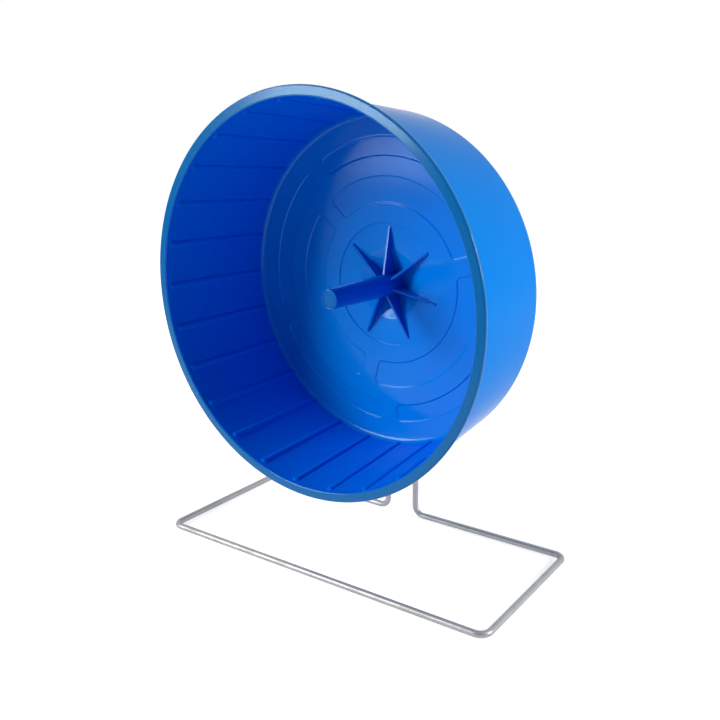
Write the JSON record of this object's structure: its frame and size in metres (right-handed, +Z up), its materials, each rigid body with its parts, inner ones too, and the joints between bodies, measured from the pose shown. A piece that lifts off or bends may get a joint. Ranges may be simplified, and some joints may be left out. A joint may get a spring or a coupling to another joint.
{
  "type": "rodent exercise wheel",
  "caption": "Deep plastic running drum with cross ribs and a gusseted hub tube, spinning on the axle of a bent wire floor stand.",
  "frame": {"origin": "floor level, below the middle of the whole part's box, which is also the middle of the floor loop's width", "axes": "+Z up, +X to the right seen from the drum's open mouth, +Y from the mouth to the back along the axle"},
  "size_m": [0.298, 0.1372, 0.3423],
  "materials": {
    "drum_plastic": "glossy, solid blue",
    "stand_wire": "satin zinc plated",
    "bright_steel": "bright turned steel",
    "weld_metal": "plated weld metal",
    "white_nylon": "matte"
  },
  "bodies": {
    "stand": {"front_wire": "stand_wire", "left_side_wire": "stand_wire", "right_side_wire": "stand_wire", "back_left_wire": "stand_wire", "back_right_wire": "stand_wire", "front_left_bend": "stand_wire", "front_right_bend": "stand_wire", "back_left_bend": "stand_wire", "back_right_bend": "stand_wire", "left_foot_bend": "stand_wire", "right_foot_bend": "stand_wire", "left_upright": "stand_wire", "right_upright": "stand_wire", "top_arch": "stand_wire", "axle_rod": "bright_steel", "front_washer": "bright_steel", "push_on_ring": "bright_steel", "rear_spacer": "white_nylon", "axle_weld": "weld_metal"},
    "wheel": {"rim_lip": "drum_plastic", "tread_wall": "drum_plastic", "tread_ribs": "drum_plastic", "back_disc": "drum_plastic", "hub_tube": "drum_plastic", "hub_gussets": "drum_plastic", "hub_end_cap": "drum_plastic"}
  },
  "joints": [
    {"name": "wheel_spin", "type": "hinge", "parent": "stand", "child": "wheel", "pos_m": [-0.0045, 0, 0.2015], "axis": [0, 1, 0], "continuous": true}
  ]
}
